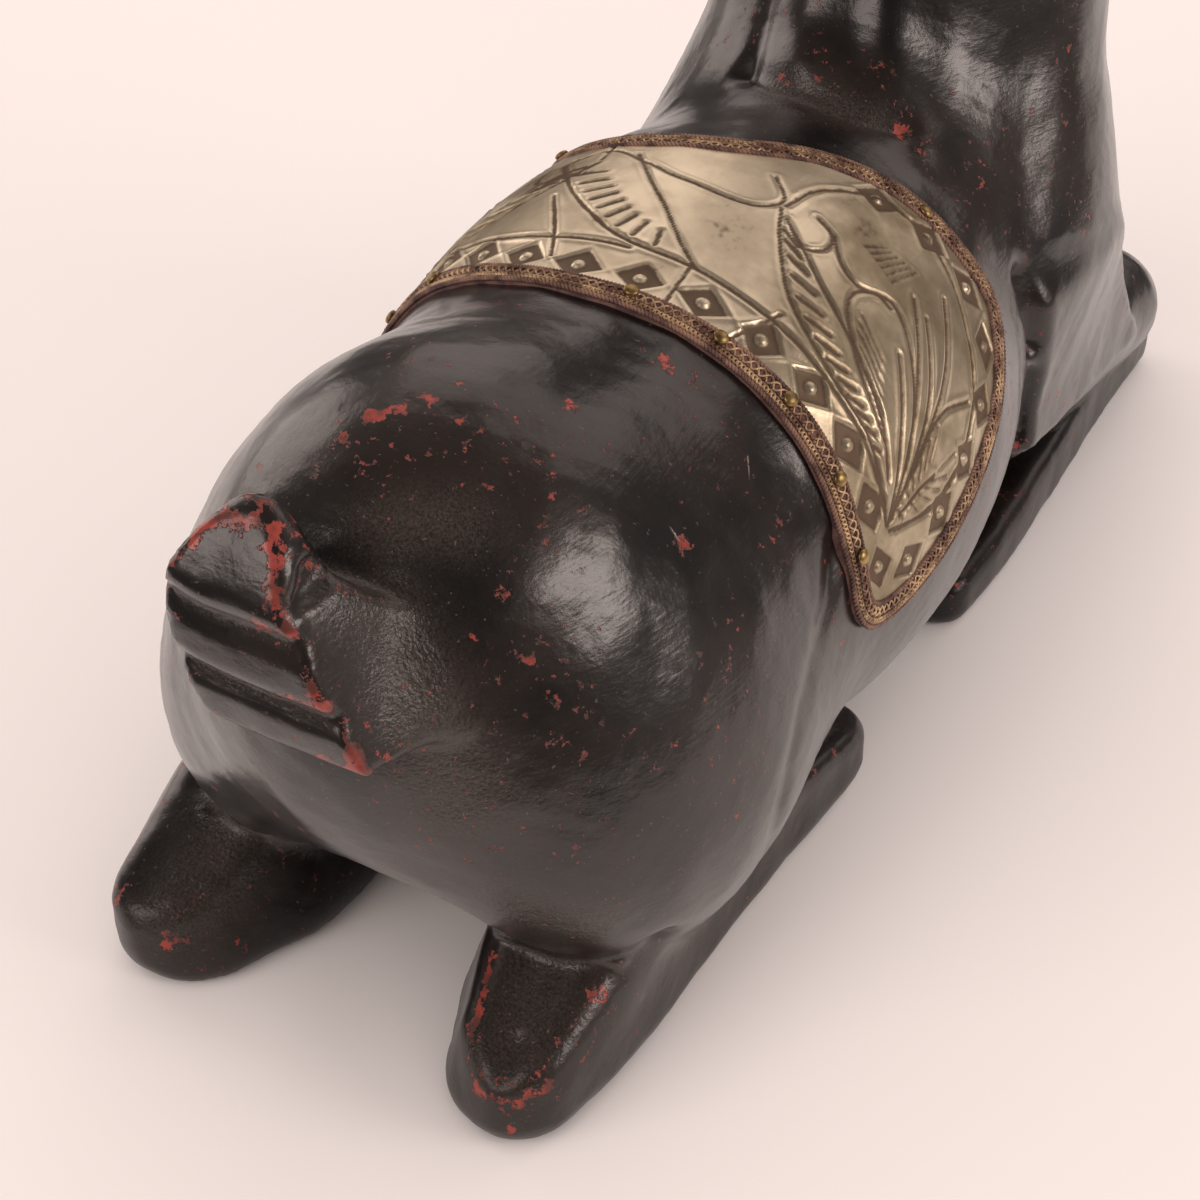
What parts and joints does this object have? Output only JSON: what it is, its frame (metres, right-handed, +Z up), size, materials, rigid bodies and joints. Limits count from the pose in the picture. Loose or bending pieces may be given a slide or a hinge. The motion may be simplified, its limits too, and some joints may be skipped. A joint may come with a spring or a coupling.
{
  "type": "carved deer figurine",
  "caption": "Lacquered carved wooden deer lying on folded legs with its head raised, with an embossed metal saddle cloth, a braid trim and small brass pins.",
  "frame": {"origin": "on the ground, under the middle of the figurine's box", "axes": "+Z up; the deer looks along -Y, so its tail is towards +Y and its left side towards +X"},
  "size_m": [0.1176, 0.317, 0.2517],
  "materials": {
    "lacquered_wood": "dark lacquer, soft sheen, worn through to red in places",
    "white_metal": "embossed sheet, tarnished in the recesses",
    "braid": "woven braid with gold wire",
    "brass": "dull brass"
  },
  "bodies": {
    "root": {"deer_body": "lacquered_wood", "saddle_cloth": "white_metal", "saddle_braid": "braid", "brass_pin_1": "brass", "brass_pin_2": "brass", "brass_pin_3": "brass", "brass_pin_4": "brass", "brass_pin_5": "brass", "brass_pin_6": "brass", "brass_pin_7": "brass", "brass_pin_8": "brass", "brass_pin_9": "brass", "brass_pin_10": "brass"}
  },
  "joints": []
}
